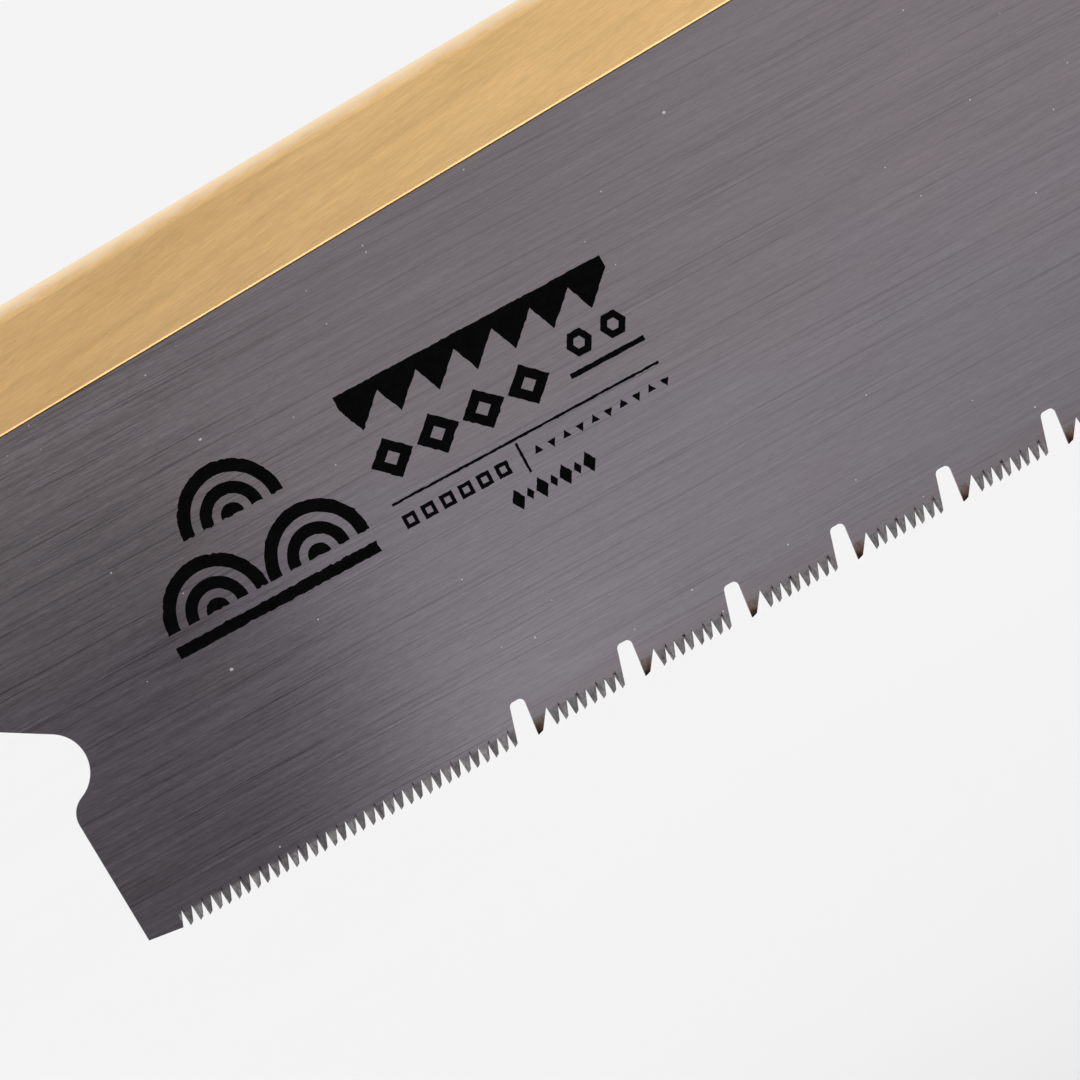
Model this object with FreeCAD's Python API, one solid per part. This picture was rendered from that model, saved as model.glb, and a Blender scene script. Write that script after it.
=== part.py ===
import FreeCAD, Part
import math
import os

from FreeCAD import Vector

# Japanese back saw (dozuki) with a replaceable blade, in millimetres.
# X runs along the saw towards the blade's toe, Z is up, the teeth point down, Y is across the saw.
# The origin is the middle of the grip, on the handle's axis. "left" is the printed side, -Y.

# Blade
BLADE_THICK = 0.3
BLADE_TOP_Z = 9.0            # edge hidden in the folded spine
HEEL_X = 163.0               # upright back edge of the heel
HEEL_LAND_ANGLE = 7.7        # degrees between the bare heel edge and the tooth line
LOBE_R = 2.2                 # round shoulder above the heel
NOTCH_R = 3.5                # round notch above the shoulder
NOTCH_X = 163.3
NOTCH_Z = -27.5
NECK_ANGLE = 33.3            # degrees between the neck's lower edge and the spine
NECK_BLEND_R = 25.0
TANG_END_X = 113.3
TANG_LOW_Z = -10.8
TANG_CORNER_R = 1.5
SLOT_HALF = 2.15             # half width of the tang's open slot

# Teeth: t is measured along the tooth line from the first tip, d is the height above that line
FIRST_TIP_X = 167.0
FIRST_TIP_Z = -45.9
TOOTH_LINE_ANGLE = 2.8       # degrees; the blade gets deeper towards the toe
PITCH = 1.0
HEEL_TEETH = 35
PANEL_TEETH = 8
PANELS = 10
GULLET_SPAN = 2.42           # last fine tip before a gullet to the raker's tip behind it
RAKER_SPAN = 1.95            # raker's tip to the next fine tip
LEAD_LEAN = -0.09            # t per unit d on a tooth's leading edge
BACK_LEAN = 0.397            # t per unit d on a tooth's back
TIP_LAND = (0.30, 0.19)      # small bevel at the tip
BACK_START = 0.36            # where the back meets the height of the tip bevel's end
LEAD_BEVEL = 0.20            # how far the filed bevels cut in through the plate
BACK_BEVEL = 0.08
TIP_BEVEL = 0.05
GULLET_DEPTH = 3.77
GULLET_CORNER_R = 0.5
GULLET_LEAD_LEAN = 0.10
GULLET_BACK_LEAN = 0.29
RAKER_LAND = (0.55, 0.17)
RAKER_BACK_LEAN = 0.72
LAND_GAP = 0.73              # bare heel edge to the first tip
LAND_RISE = 0.19
TOE_T = 149.4
TOE_LAND = 1.3

# Folded brass spine
SPINE_LOW_Z = 1.0
SPINE_REAR_HEIGHT = 10.4     # the spine gets lower towards the toe
SPINE_TOE_HEIGHT = 9.85
SPINE_WIDTH = 3.0
SPINE_REAR_X = 113.1
SPINE_EDGE = 0.15
SPINE_SLOT_HALF = 0.16
SPINE_TOE_R = 2.5

# Blade holder: two pressed plates, a spacer, two pins, and the clamp screw
PLATE_THICK = 1.0
PLATE_GAP = 3.1
JAW_FRONT_X = 131.0
JAW_REAR_X = 106.0
JAW_LOW_Z = -12.3
JAW_HIGH_Z = 11.9
JAW_FRONT_R = 3.0
JAW_REAR_R = 2.0
SHANK_REAR_X = 40.0
SHANK_HALF_Z = 8.0
SHANK_FRONT_R = 1.0          # inside the jaw
SHANK_REAR_R = 2.0
PAD_HALF_GAP = 0.2           # plate to middle plane where it is pressed in against the tang
PAD_TOP_Z = 0.8
PAD_REAR_X = 114.2
SPACER_FRONT_X = 113.0
SPACER_FRONT_R = 0.5
PIN_XS = {"holder_pin_front": 76.0, "holder_pin_rear": 52.0}
PIN_R = 1.5
PIN_HALF_LENGTH = 8.6
PIN_BEVEL = 0.2
SCREW_X = 121.0
SCREW_Z = -5.4
SCREW_R = 2.0
HEAD_R = 3.9
HEAD_HEIGHT = 2.6
HEAD_EDGE = 1.1              # height of the head at its rim
HEAD_DOME = (0.62, 0.42)     # point of the dome: share of the radius, share of the rim's height
RECESS_TOP = (2.3, 0.50)     # half length and half width of each wing of the cross recess
RECESS_BOTTOM = (0.9, 0.38)
RECESS_DEPTH = 1.7
WASHER_R = 4.0
WASHER_THICK = 0.8
NUT_FLATS = 7.0
NUT_HEIGHT = 3.2
NUT_BEVEL = (0.6, 0.35)      # across and down
SCREW_TIP = 0.6              # shank past the nut
BOLT_HOLE_R = 2.15
NUT_CLEARANCE = 0.03

# Handle
HANDLE_HALF = 105.0          # butt at -X, ferrule's face at +X
CORE_FRONT = (12.4, 9.4)     # half height and half width
CORE_BUTT = (13.2, 10.2)
CORE_FRONT_X = 103.9
BUTT_FILLET = 2.0
CORE_SLOT_CLEAR = 0.1
CORE_SLOT_END = 0.5          # slot past the shank's rear end
WRAP_THICK = 1.15
WRAP_HALF = 86.0
BINDING_THICK = 1.3
BINDING_WIDTH = 3.0
FERRULE_REAR_X = 90.0
FERRULE_OUT = (13.2, 10.2)
FERRULE_IN = (12.5, 9.5)
FERRULE_FACE = 1.0
FERRULE_EDGE = 0.5
BRAD_X = 96.0
BRAD_R = 0.8
BRAD_HEAD_R = 1.4
BRAD_HEAD = 0.5
BRAD_DOME = (0.72, 0.56)     # point of the dome: share of the radius, share of the height
BRAD_TIP_Y = 5.0

# Hanging hole
EYE_X = -97.0
EYE_BORE_R = 2.75
EYE_BARREL_R = 3.4
EYE_FLANGE_R = 5.0
EYE_FLANGE_BEVEL = 0.2
EYE_SEAT_CLEAR = 0.1         # round the flange, in the wood
EYE_SEAT_Y = 9.4
EYE_END_Y = 10.0
EYE_LIP_R = 4.1
EYE_LIP = 0.2
EYE_WASHER_BORE_R = 3.45

FAR = 30.0                   # cutters reach this far from the axis, past every surface
OVERRUN = 5.0                # how far the pad's cutters run past the holder's edges
SAME = 1e-6                  # lengths closer than this are equal


def polygon(points):
    """Closed wire through the points."""
    return Part.Wire(Part.makePolygon(points + points[:1]))


def upright_plate(outline, y_low, y_high):
    """Extrude a wire drawn in the plane Y = 0 between two heights in Y."""
    face = Part.Face(outline)
    face.translate(Vector(0, y_low, 0))
    return face.extrude(Vector(0, y_high - y_low, 0))


def cylinder_y(x, z, radius, y_low, y_high):
    return Part.makeCylinder(radius, y_high - y_low, Vector(x, y_low, z), Vector(0, 1, 0))


def box(low, high):
    size = Vector(*high) - Vector(*low)
    return Part.makeBox(size.x, size.y, size.z, Vector(*low))


def oval_loft(front_x, front, rear_x, rear, extra=0.0):
    """Solid between two upright ovals, each given as (half height, half width)."""
    wires = []
    for x, (half_z, half_y) in ((rear_x, rear), (front_x, front)):
        tall = Vector(x, 0, half_z + extra)
        wide = Vector(x, half_y + extra, 0)
        oval = Part.Ellipse(tall, wide, Vector(x, 0, 0))
        wires.append(Part.Wire([oval.toShape()]))
    return Part.makeLoft(wires, True, True)


def rounded_rectangle(x_low, x_high, z_low, z_high, front_r, rear_r):
    """Wire in the plane Y = 0 with its own corner radius at each end in X."""
    corners = [
        (x_low, z_low, rear_r, 180),
        (x_high, z_low, front_r, 270),
        (x_high, z_high, front_r, 0),
        (x_low, z_high, rear_r, 90),
    ]
    edges = []
    ends = []
    for x, z, radius, start in corners:
        centre_x = x + (radius if x == x_low else -radius)
        centre_z = z + (radius if z == z_low else -radius)
        arc = [polar(centre_x, centre_z, radius, start + turn) for turn in (0, 45, 90)]
        edges.append(Part.Arc(*arc).toShape())
        ends.append((arc[0], arc[2]))
    for i, (_, end) in enumerate(ends):
        edges.append(Part.LineSegment(end, ends[(i + 1) % 4][0]).toShape())
    return Part.Wire(Part.__sortEdges__(edges))


def polar(x, z, radius, degrees, y=0.0):
    """Point at an angle from +X round the centre (x, z), in a plane of constant Y."""
    angle = math.radians(degrees)
    return Vector(x + radius * math.cos(angle), y, z + radius * math.sin(angle))


# ---------------------------------------------------------------- blade


def crossing(line_a, line_b):
    """Where two lines of the form ((t, d), (run in t, run in d)) meet."""
    (ta, da), (ua, va) = line_a
    (tb, db), (ub, vb) = line_b
    along = ((tb - ta) * vb - (db - da) * ub) / (ua * vb - va * ub)
    return (ta + along * ua, da + along * va)


def tooth_lines(tip, bevelled, before_gullet, last):
    """Leading edge, tip bevel and back of one fine tooth on one face of the plate."""
    lead = LEAD_BEVEL if bevelled else 0.0
    back = BACK_BEVEL if bevelled else 0.0
    rise = TIP_BEVEL if bevelled else 0.0
    lines = [((tip + lead, 0.0), (LEAD_LEAN, 1.0)), ((tip, rise), TIP_LAND)]
    if before_gullet and not last:
        lines.append(((tip + TIP_LAND[0], TIP_LAND[1]), (GULLET_BACK_LEAN, 1.0)))
    else:
        lines.append(((tip + BACK_START - back, TIP_LAND[1]), (BACK_LEAN, 1.0)))
    return lines


def raker_lines(tip):
    """Gullet before a raker, and the raker's own edges."""
    gullet_top = ((tip, GULLET_DEPTH), (1.0, 0.0))
    lead = ((tip, 0.0), (GULLET_LEAD_LEAN, 1.0))
    land = ((tip, 0.0), RAKER_LAND)
    back = ((tip + RAKER_LAND[0], RAKER_LAND[1]), (RAKER_BACK_LEAN, 1.0))
    return [gullet_top, lead, land, back]


def heel_land():
    """Bare lower edge of the heel, running away from the teeth."""
    lean = math.radians(HEEL_LAND_ANGLE)
    return ((-LAND_GAP, LAND_RISE), (-math.cos(lean), math.sin(lean)))


def row_of_lines(face):
    """All edges of the toothed row on one face, heel to toe; face is 0 (left) or 1 (right)."""
    lines = [heel_land(), ((-LAND_GAP, LAND_RISE), (BACK_LEAN, 1.0))]
    count = 0
    start = 0.0
    for group in range(PANELS + 1):
        size = PANEL_TEETH if group else HEEL_TEETH
        for i in range(size):
            bevelled = count % 2 == face
            lines += tooth_lines(start + i * PITCH, bevelled, i == size - 1, group == PANELS)
            count += 1
        if group < PANELS:
            raker = start + (size - 1) * PITCH + GULLET_SPAN
            lines += raker_lines(raker)
            start = raker + RAKER_SPAN
    lines.append(((TOE_T, TOE_LAND), (1.0, 0.0)))
    lines.append(((TOE_T, 0.0), (0.0, 1.0)))
    return lines


def from_tooth_line(point, y):
    """Turn (t, d) into a point of the saw."""
    lean = math.radians(TOOTH_LINE_ANGLE)
    t, d = point
    x = FIRST_TIP_X + t * math.cos(lean) + d * math.sin(lean)
    z = FIRST_TIP_Z - t * math.sin(lean) + d * math.cos(lean)
    return Vector(x, y, z)


def rounded_corner(before, corner, after, radius):
    """Start, middle and end of the arc that rounds a corner."""
    to_before = (before - corner).normalize()
    to_after = (after - corner).normalize()
    half = to_before.getAngle(to_after) / 2
    start = corner + to_before * (radius / math.tan(half))
    end = corner + to_after * (radius / math.tan(half))
    bisector = (to_before + to_after).normalize()
    middle = corner + bisector * (radius / math.sin(half) - radius)
    return start, middle, end


def toe_end_x():
    """Where the toe's edge passes the spine's lower edge."""
    lean = math.radians(TOOTH_LINE_ANGLE)
    foot = from_tooth_line((TOE_T, TOE_LAND), 0.0)
    return foot.x + (SPINE_LOW_Z - foot.z) * math.tan(lean)


def toothed_row(face, y):
    """Corners of the row, heel to toe, with the two corners at the top of each gullet rounded."""
    lines = row_of_lines(face)
    corners = [crossing(a, b) for a, b in zip(lines, lines[1:])]
    points = [from_tooth_line(corner, y) for corner in corners]
    row = []
    for i, (_, height) in enumerate(corners):
        if abs(height - GULLET_DEPTH) < SAME:
            row.append(rounded_corner(points[i - 1], points[i], points[i + 1], GULLET_CORNER_R))
        else:
            row.append(points[i])
    return row


def tang_corners(y):
    """From the toe along the hidden top edge and round the tang, with its open slot."""
    low_centre = (TANG_END_X + TANG_CORNER_R, TANG_LOW_Z + TANG_CORNER_R)
    return [
        Vector(toe_end_x(), y, SPINE_LOW_Z),
        Vector(toe_end_x(), y, BLADE_TOP_Z),
        Vector(TANG_END_X, y, BLADE_TOP_Z),
        Vector(TANG_END_X, y, SCREW_Z + SLOT_HALF),
        tuple(polar(SCREW_X, SCREW_Z, SLOT_HALF, turn, y) for turn in (90, 0, -90)),
        Vector(TANG_END_X, y, SCREW_Z - SLOT_HALF),
        tuple(polar(*low_centre, TANG_CORNER_R, turn, y) for turn in (180, 225, 270)),
    ]


def heel_corners(row_start, y):
    """Neck, round notch, shoulder and back edge, down to the bare lower edge of the heel."""
    neck_side = 90 - NECK_ANGLE
    tangent = polar(NOTCH_X, NOTCH_Z, NOTCH_R, neck_side, y)
    slope = math.tan(math.radians(NECK_ANGLE))
    bend = Vector(tangent.x - (TANG_LOW_Z - tangent.z) / slope, y, TANG_LOW_Z)
    neck = rounded_corner(Vector(TANG_END_X, y, TANG_LOW_Z), bend, tangent, NECK_BLEND_R)

    lobe_x = HEEL_X + LOBE_R
    reach = NOTCH_R + LOBE_R
    lobe_z = NOTCH_Z - math.sqrt(reach**2 - (lobe_x - NOTCH_X) ** 2)
    touch = math.degrees(math.atan2(lobe_z - NOTCH_Z, lobe_x - NOTCH_X))
    notch_turns = (neck_side, (neck_side + touch) / 2, touch)
    notch = tuple(polar(NOTCH_X, NOTCH_Z, NOTCH_R, turn, y) for turn in notch_turns)
    lobe_turns = (touch + 180, (touch + 360) / 2, 180)
    lobe = tuple(polar(lobe_x, lobe_z, LOBE_R, turn, y) for turn in lobe_turns)

    (t, d), (run_t, run_d) = heel_land()
    along_land = from_tooth_line((t + run_t, d + run_d), y) - from_tooth_line((t, d), y)
    heel_foot = row_start + along_land * ((HEEL_X - row_start.x) / along_land.x)
    return [neck, notch, lobe, heel_foot]


def blade_corners(face, y):
    """The whole outline on one face: a list of points, and arcs as (start, middle, end)."""
    row = toothed_row(face, y)
    return row + tang_corners(y) + heel_corners(row[0], y)


def outline_edges(corners):
    """Edges through the corners in order; an arc's start and end are corners too."""
    edges = []
    here = corners[-1]
    for corner in corners:
        start = corner[0] if isinstance(corner, tuple) else corner
        if (start - here).Length > SAME:
            edges.append(Part.LineSegment(here, start).toShape())
        if isinstance(corner, tuple):
            edges.append(Part.Arc(*corner).toShape())
            here = corner[2]
        else:
            here = corner
    return edges


def make_blade():
    """Toothed plate. The bevels differ on its two faces, so each side facet joins two outlines."""
    half = BLADE_THICK / 2
    left = outline_edges(blade_corners(0, -half))
    right = outline_edges(blade_corners(1, half))
    faces = [Part.Face(Part.Wire(left)), Part.Face(Part.Wire(right))]
    for edge_a, edge_b in zip(left, right):
        if isinstance(edge_a.Curve, Part.Circle):
            faces.append(edge_a.extrude(Vector(0, BLADE_THICK, 0)))
            continue
        a0, a1 = (edge_a.valueAt(u) for u in edge_a.ParameterRange)
        b0, b1 = (edge_b.valueAt(u) for u in edge_b.ParameterRange)
        faces.append(Part.Face(polygon([a0, a1, b1, b0])))
    skin = Part.Compound(faces)
    skin.sewShape(1e-5)
    blade = Part.Solid(skin.Shells[0])
    if blade.Volume < 0:
        blade.reverse()
    return blade


# ---------------------------------------------------------------- spine


def spine_section(x, height):
    """Folded strip cut across at x: two legs, a round fold, and bevelled lower edges."""
    half = SPINE_WIDTH / 2
    top = SPINE_LOW_Z + height
    leg = [
        Vector(x, -half, top - half),
        Vector(x, -half, SPINE_LOW_Z + SPINE_EDGE),
        Vector(x, -half + SPINE_EDGE, SPINE_LOW_Z),
        Vector(x, -SPINE_SLOT_HALF, SPINE_LOW_Z),
        Vector(x, -SPINE_SLOT_HALF, BLADE_TOP_Z),
    ]
    other = [Vector(p.x, -p.y, p.z) for p in reversed(leg)]
    fold = Part.Arc(other[-1], Vector(x, 0, top), leg[0]).toShape()
    return Part.Wire(Part.makePolygon(leg + other).Edges + [fold])


def make_spine():
    """Brass strip folded over the blade, a little lower and rounded at the toe."""
    toe = toe_end_x()
    rear = spine_section(SPINE_REAR_X, SPINE_REAR_HEIGHT)
    front = spine_section(toe, SPINE_TOE_HEIGHT)
    spine = Part.makeLoft([rear, front], True, True)

    half = SPINE_WIDTH / 2
    top = SPINE_LOW_Z + SPINE_TOE_HEIGHT
    centre_x = toe - SPINE_TOE_R
    centre_z = top - SPINE_TOE_R
    corner = box((centre_x, -half, centre_z), (toe + 1, half, top + 1))
    keep = cylinder_y(centre_x, centre_z, SPINE_TOE_R, -half, half)
    return spine.cut(corner.cut(keep))


# ---------------------------------------------------------------- blade holder


def pad_frustum(y_outer, y_inner, grow):
    """Pressed-in pocket: a tapering block, open at the front and below."""
    step = y_outer - y_inner
    wires = []
    for y, inset in ((y_outer, 0.0), (y_inner, step)):
        x_low = PAD_REAR_X - grow + inset
        z_high = PAD_TOP_Z + grow - inset
        front = JAW_FRONT_X + OVERRUN
        low = JAW_LOW_Z - OVERRUN
        corners = [(x_low, low), (front, low), (front, z_high), (x_low, z_high)]
        wires.append(polygon([Vector(x, y, z) for x, z in corners]))
    return Part.makeLoft(wires, True, True)


def holder_outline():
    """The jaw that shows, and the shank that goes back into the handle."""
    jaw = rounded_rectangle(JAW_REAR_X, JAW_FRONT_X, JAW_LOW_Z, JAW_HIGH_Z, JAW_FRONT_R, JAW_REAR_R)
    shank_x = (SHANK_REAR_X, JAW_FRONT_X - JAW_FRONT_R)
    shank = rounded_rectangle(*shank_x, -SHANK_HALF_Z, SHANK_HALF_Z, SHANK_FRONT_R, SHANK_REAR_R)
    return jaw, shank


def make_holder_plate(side):
    """Steel plate of the blade holder; side is -1 (left) or 1 (right)."""
    inner = PLATE_GAP / 2
    outer = inner + PLATE_THICK
    pad_outer = PAD_HALF_GAP + PLATE_THICK
    # The pocket's slopes are at 45 degrees, so its wall keeps the plate's thickness when it is
    # moved sideways by this much.
    shift = PLATE_THICK * (math.sqrt(2) - 1)

    jaw, shank = holder_outline()
    flat = upright_plate(jaw, inner, outer).fuse(upright_plate(shank, inner, outer))
    boss = pad_frustum(inner, PAD_HALF_GAP, 0.0)
    trim = upright_plate(jaw, PAD_HALF_GAP, outer)
    pocket = pad_frustum(outer, pad_outer, -shift)
    plate = flat.fuse(boss.common(trim)).cut(pocket)
    for x, z, radius in holder_holes():
        plate = plate.cut(cylinder_y(x, z, radius, 0, FAR))
    plate = plate.removeSplitter()
    if side < 0:
        plate = plate.mirror(Vector(0, 0, 0), Vector(0, 1, 0))
    return plate


def holder_holes():
    """Holes through each plate, as (x, z, radius)."""
    holes = [(x, 0.0, PIN_R) for x in PIN_XS.values()]
    return holes + [(SCREW_X, SCREW_Z, BOLT_HOLE_R)]


def make_holder_spacer():
    """Bar that keeps the two plates of the holder apart."""
    half = PLATE_GAP / 2
    ends = (SHANK_REAR_X, SPACER_FRONT_X)
    bar = rounded_rectangle(*ends, -SHANK_HALF_Z, SHANK_HALF_Z, SPACER_FRONT_R, SHANK_REAR_R)
    spacer = upright_plate(bar, -half, half)
    for x in PIN_XS.values():
        spacer = spacer.cut(cylinder_y(x, 0.0, PIN_R, -half, half))
    return spacer


def make_holder_pin(x):
    """Ground pin with bevelled ends, across the handle."""
    pin = cylinder_y(x, 0.0, PIN_R, -PIN_HALF_LENGTH, PIN_HALF_LENGTH)
    rims = [edge for edge in pin.Edges if isinstance(edge.Curve, Part.Circle)]
    return pin.makeChamfer(PIN_BEVEL, rims)


def revolve_y(profile, x, z):
    """Turn a profile of (radius, y) points about the axis along Y through (x, z)."""
    face = Part.Face(polygon([Vector(x + r, y, z) for r, y in profile]))
    return face.revolve(Vector(x, 0, z), Vector(0, 1, 0), 360)


def make_clamp_washer():
    """Flat ring between the screw's head and the left plate's pad."""
    seat = -(PAD_HALF_GAP + PLATE_THICK)
    ring = cylinder_y(SCREW_X, SCREW_Z, WASHER_R, seat - WASHER_THICK, seat)
    return ring.cut(cylinder_y(SCREW_X, SCREW_Z, BOLT_HOLE_R, seat - WASHER_THICK, seat))


def revolve_domed(points, dome, x, z):
    """Turn (radius, y) points, closed by a domed end through three (radius, y) points."""
    rim = Part.makePolygon([Vector(x + r, y, z) for r, y in points])
    arc = Part.Arc(*[Vector(x + r, y, z) for r, y in dome]).toShape()
    section = Part.Face(Part.Wire(rim.Edges + [arc]))
    return section.revolve(Vector(x, 0, z), Vector(0, 1, 0), 360)


def make_clamp_screw():
    """Pan head screw with a cross recess, head towards -Y."""
    seat = -(PAD_HALF_GAP + PLATE_THICK + WASHER_THICK)
    face_y = seat - HEAD_HEIGHT
    tip_y = PAD_HALF_GAP + PLATE_THICK + NUT_HEIGHT + SCREW_TIP
    edge = (HEAD_R, seat - HEAD_EDGE)
    points = [edge, (HEAD_R, seat), (SCREW_R, seat), (SCREW_R, tip_y - SCREW_TIP)]
    points += [(SCREW_R - SCREW_TIP, tip_y), (0.0, tip_y), (0.0, face_y)]
    across, down = HEAD_DOME
    dome = [(0.0, face_y), (HEAD_R * across, face_y + HEAD_EDGE * down), edge]
    return revolve_domed(points, dome, SCREW_X, SCREW_Z).cut(cross_recess(face_y))


def cross_recess(face_y):
    """Two crossed wings that taper to the bottom of the recess."""
    above = 0.2  # the cutter starts this far outside the head
    wings = []
    for long_axis in (Vector(1, 0, 0), Vector(0, 0, 1)):
        wide_axis = long_axis.cross(Vector(0, 1, 0))
        wires = []
        for y, (length, width) in ((face_y - above, RECESS_TOP), (face_y + RECESS_DEPTH, RECESS_BOTTOM)):
            centre = Vector(SCREW_X, y, SCREW_Z)
            along = long_axis * length
            across = wide_axis * width
            front = [centre + along + across, centre - along + across]
            rear = [centre - along - across, centre + along - across]
            wires.append(polygon(front + rear))
        wings.append(Part.makeLoft(wires, True, True))
    return wings[0].fuse(wings[1])


def make_clamp_nut():
    """Hex nut against the right plate, its corners bevelled on the outside."""
    seat = PAD_HALF_GAP + PLATE_THICK
    corner_r = NUT_FLATS / math.sqrt(3)
    corners = [polar(SCREW_X, SCREW_Z, corner_r, 60 * i) for i in range(6)]
    prism = upright_plate(polygon(corners), seat, seat + NUT_HEIGHT)
    top = seat + NUT_HEIGHT
    across, down = NUT_BEVEL
    profile = [(0, seat), (corner_r, seat), (corner_r, top - down), (corner_r - across, top), (0, top)]
    nut = prism.common(revolve_y(profile, SCREW_X, SCREW_Z))
    return nut.cut(cylinder_y(SCREW_X, SCREW_Z, SCREW_R + NUT_CLEARANCE, seat, top))


# ---------------------------------------------------------------- handle


def handle_section(x, extra=0.0):
    """Oval solid of the whole core, grown by extra, used as a cutter too."""
    return oval_loft(x, CORE_FRONT, -HANDLE_HALF, CORE_BUTT, extra)


def plate_slot(x_low, x_high):
    """Cutter for the slot that takes the holder's plates."""
    slot_y = PLATE_GAP / 2 + PLATE_THICK + CORE_SLOT_CLEAR
    slot_z = SHANK_HALF_Z + CORE_SLOT_CLEAR
    return box((x_low, -slot_y, -slot_z), (x_high, slot_y, slot_z))


def make_core():
    """The whole wooden core before it is split."""
    core = handle_section(CORE_FRONT_X)
    butt_rim = [e for e in core.Edges if abs(e.BoundBox.XMax + HANDLE_HALF) < SAME]
    core = core.makeFillet(BUTT_FILLET, butt_rim)
    core = core.cut(plate_slot(SHANK_REAR_X - CORE_SLOT_END, HANDLE_HALF))
    for x in PIN_XS.values():
        core = core.cut(cylinder_y(x, 0.0, PIN_R, -FAR, FAR))
    core = core.cut(cylinder_y(EYE_X, 0.0, EYE_BARREL_R, -FAR, FAR))
    recess_r = EYE_FLANGE_R + EYE_SEAT_CLEAR
    core = core.cut(cylinder_y(EYE_X, 0.0, recess_r, -FAR, -EYE_SEAT_Y))
    core = core.cut(cylinder_y(EYE_X, 0.0, recess_r, EYE_SEAT_Y, FAR))
    core = core.cut(cylinder_y(BRAD_X, 0.0, BRAD_R, -FAR, -BRAD_TIP_Y))
    return core.cut(cylinder_y(BRAD_X, 0.0, BRAD_R, BRAD_TIP_Y, FAR))


def make_core_half(core, side):
    """Half of the core split along the middle plane; side is -1 (left) or 1 (right)."""
    y_low, y_high = (-FAR, 0) if side < 0 else (0, FAR)
    return core.common(box((-HANDLE_HALF - 1, y_low, -FAR), (HANDLE_HALF, y_high, FAR)))


def make_sleeve(x_low, x_high, thick):
    """Closed layer of even thickness on the core."""
    layer = handle_section(CORE_FRONT_X, thick).cut(handle_section(CORE_FRONT_X))
    return layer.common(box((x_low, -FAR, -FAR), (x_high, FAR, FAR)))


def make_ferrule():
    """Oval cap with a slot in its face for the holder's plates."""
    front = HANDLE_HALF
    cap = oval_loft(front, FERRULE_OUT, FERRULE_REAR_X, FERRULE_OUT)
    rims = [e for e in cap.Edges if abs(e.BoundBox.XMin - front) < SAME]
    cap = cap.makeFillet(FERRULE_EDGE, rims)
    cap = cap.cut(oval_loft(front - FERRULE_FACE, FERRULE_IN, FERRULE_REAR_X, FERRULE_IN))
    cap = cap.cut(plate_slot(front - FERRULE_FACE - 1, front + 1))
    return cap.cut(cylinder_y(BRAD_X, 0.0, BRAD_R, -FAR, FAR))


def make_ferrule_brads():
    """Two small brads with domed heads, one on each side."""
    seat = FERRULE_OUT[1]
    top = seat + BRAD_HEAD
    points = [(BRAD_HEAD_R, seat), (BRAD_R, seat), (BRAD_R, BRAD_TIP_Y), (0.0, BRAD_TIP_Y), (0.0, top)]
    across, up = BRAD_DOME
    dome = [(0.0, top), (BRAD_HEAD_R * across, seat + BRAD_HEAD * up), (BRAD_HEAD_R, seat)]
    right = revolve_domed(points, dome, BRAD_X, 0.0)
    left = right.copy()
    left.rotate(Vector(BRAD_X, 0, 0), Vector(0, 0, 1), 180)
    return Part.Compound([right, left])


def make_hang_eyelet():
    """Brass tube with a flange on the left side and a rolled lip on the right."""
    profile = [
        (EYE_BORE_R, -EYE_END_Y),
        (EYE_FLANGE_R - EYE_FLANGE_BEVEL, -EYE_END_Y),
        (EYE_FLANGE_R, -EYE_END_Y + EYE_FLANGE_BEVEL),
        (EYE_FLANGE_R, -EYE_SEAT_Y),
        (EYE_BARREL_R, -EYE_SEAT_Y),
        (EYE_BARREL_R, EYE_END_Y - EYE_LIP),
        (EYE_LIP_R, EYE_END_Y - EYE_LIP),
        (EYE_LIP_R, EYE_END_Y),
        (EYE_BORE_R, EYE_END_Y),
    ]
    return revolve_y(profile, EYE_X, 0.0)


def make_eyelet_washer():
    """Ring under the rolled lip."""
    profile = [
        (EYE_WASHER_BORE_R, EYE_SEAT_Y),
        (EYE_FLANGE_R, EYE_SEAT_Y),
        (EYE_FLANGE_R, EYE_END_Y - EYE_LIP),
        (EYE_WASHER_BORE_R, EYE_END_Y - EYE_LIP),
    ]
    return revolve_y(profile, EYE_X, 0.0)


def main():
    os.makedirs("parts", exist_ok=True)
    core = make_core()
    binding_end = WRAP_HALF + BINDING_WIDTH
    shapes = {
        "blade": make_blade(),
        "spine": make_spine(),
        "holder_plate_left": make_holder_plate(-1),
        "holder_plate_right": make_holder_plate(1),
        "holder_spacer": make_holder_spacer(),
        "clamp_screw": make_clamp_screw(),
        "clamp_washer": make_clamp_washer(),
        "clamp_nut": make_clamp_nut(),
        "ferrule": make_ferrule(),
        "ferrule_brads": make_ferrule_brads(),
        "handle_core_left": make_core_half(core, -1),
        "handle_core_right": make_core_half(core, 1),
        "rattan_wrap": make_sleeve(-WRAP_HALF, WRAP_HALF, WRAP_THICK),
        "wrap_binding_front": make_sleeve(WRAP_HALF, binding_end, BINDING_THICK),
        "wrap_binding_rear": make_sleeve(-binding_end, -WRAP_HALF, BINDING_THICK),
        "hang_eyelet": make_hang_eyelet(),
        "eyelet_washer": make_eyelet_washer(),
    }
    for name, x in PIN_XS.items():
        shapes[name] = make_holder_pin(x)
    for name, shape in shapes.items():
        if not shape.isValid():
            print("not valid:", name)
        shape.exportStep(f"parts/{name}.step")
        size = shape.optimalBoundingBox(False, False)
        print(f"{name}: {len(shape.Solids)} solid(s), {shape.Volume:.2f} mm3, "
              f"{size.XLength:.2f} x {size.YLength:.2f} x {size.ZLength:.2f} mm")


main()
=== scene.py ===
import math
import random

import bmesh
import bpy
from mathutils import Matrix, Vector


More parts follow.
